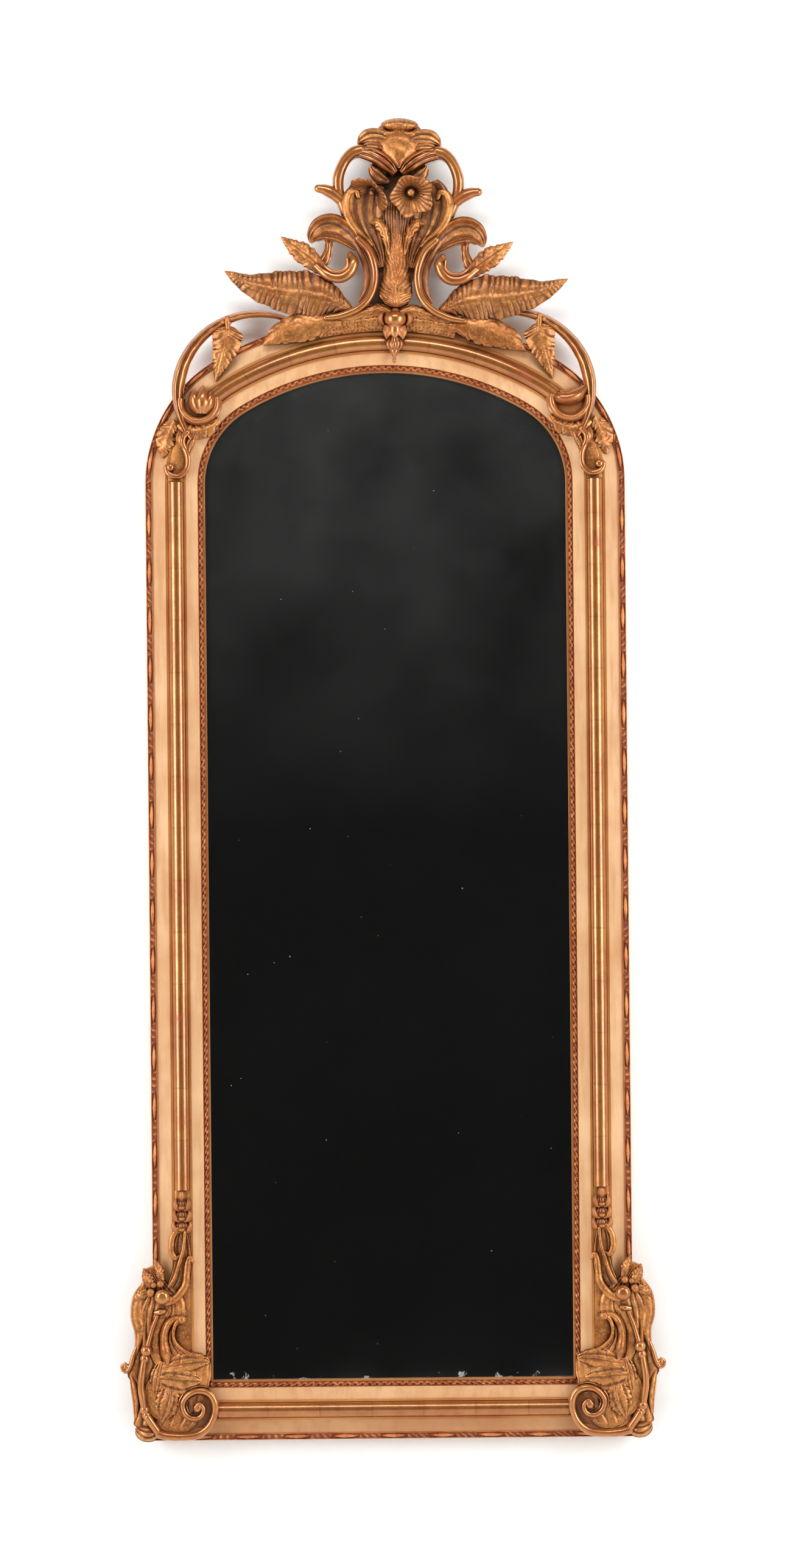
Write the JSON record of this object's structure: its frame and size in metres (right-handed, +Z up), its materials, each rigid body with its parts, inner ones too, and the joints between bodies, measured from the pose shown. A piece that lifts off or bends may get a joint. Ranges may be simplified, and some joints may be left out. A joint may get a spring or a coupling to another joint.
{
  "type": "pier mirror",
  "caption": "Tall arched wall mirror in a moulded cream and gilt frame with carved crest, shoulder sprays and corner scrolls, hung by swinging iron rings.",
  "frame": {"origin": "middle of the lower edge of the frame's back, where the back meets the underside", "axes": "+Z up, +X to the viewer's right, the mirror faces -Y and its back lies on the plane y = 0"},
  "size_m": [0.8982, 0.0977, 2.172],
  "materials": {
    "cream_timber": "matte cream distemper on gessoed pine, with gilt fillets",
    "burnished_gilt": "burnished gold leaf over red bole, rubbed",
    "matte_gilt": "matte gold leaf over bole, toned brown",
    "bole_gilt": "red bole with rubbed gold",
    "bare_pine": "bare aged softwood",
    "silvered_glass": "aged silvered plate",
    "forged_iron": "dark forged iron",
    "screw_steel": "dull steel"
  },
  "bodies": {
    "mirror": {"back_board_lower": "bare_pine", "back_board_middle": "bare_pine", "back_board_screws": "screw_steel", "back_board_upper": "bare_pine", "batten_screws": "screw_steel", "bottom_rail": "cream_timber", "corner_buds": "burnished_gilt", "corner_feet": "burnished_gilt", "corner_husks": "matte_gilt", "corner_leaves": "matte_gilt", "corner_panels": "matte_gilt", "corner_reeds": "burnished_gilt", "corner_volutes": "burnished_gilt", "crest_arch_leaves": "matte_gilt", "crest_arms": "matte_gilt", "crest_batten": "bare_pine", "crest_board": "matte_gilt", "crest_boss": "burnished_gilt", "crest_c_scrolls": "burnished_gilt", "crest_curls": "matte_gilt", "crest_drop": "matte_gilt", "crest_ears": "matte_gilt", "crest_fan": "matte_gilt", "crest_finial": "matte_gilt", "crest_flower_left": "matte_gilt", "crest_flower_right": "matte_gilt", "crest_hood": "matte_gilt", "crest_long_leaf_left": "matte_gilt", "crest_long_leaf_right": "matte_gilt", "crest_mound": "matte_gilt", "crest_small_leaves": "matte_gilt", "crest_tongue": "matte_gilt", "edge_bead_arch": "bole_gilt", "edge_bead_rail": "bole_gilt", "edge_bead_stiles": "bole_gilt", "glass_blocks": "bare_pine", "half_round_arch": "burnished_gilt", "half_round_rail": "burnished_gilt", "half_round_stiles": "burnished_gilt", "hanger_plate_left": "forged_iron", "hanger_plate_right": "forged_iron", "hanger_screws": "screw_steel", "head_crown": "cream_timber", "head_shoulder_left": "cream_timber", "head_shoulder_right": "cream_timber", "mirror_plate": "silvered_glass", "shoulder_buds": "burnished_gilt", "shoulder_hanging_leaves": "matte_gilt", "shoulder_leaves": "matte_gilt", "shoulder_scrolls": "burnished_gilt", "shoulder_stems": "burnished_gilt", "shoulder_tails": "burnished_gilt", "sight_strip_arch": "bole_gilt", "sight_strip_rail": "bole_gilt", "sight_strip_stiles": "bole_gilt", "stile_left": "cream_timber", "stile_right": "cream_timber"},
    "ring_left": {"hanger_ring_left": "forged_iron"},
    "ring_right": {"hanger_ring_right": "forged_iron"}
  },
  "joints": [
    {"name": "left_ring_swing", "type": "hinge", "parent": "mirror", "child": "ring_left", "pos_m": [-0.359, -0.0055, 1.48015], "axis": [1, 0, 0], "range_deg": [0, 175]},
    {"name": "right_ring_swing", "type": "hinge", "parent": "mirror", "child": "ring_right", "pos_m": [0.359, -0.0055, 1.48015], "axis": [1, 0, 0], "range_deg": [0, 175]}
  ]
}
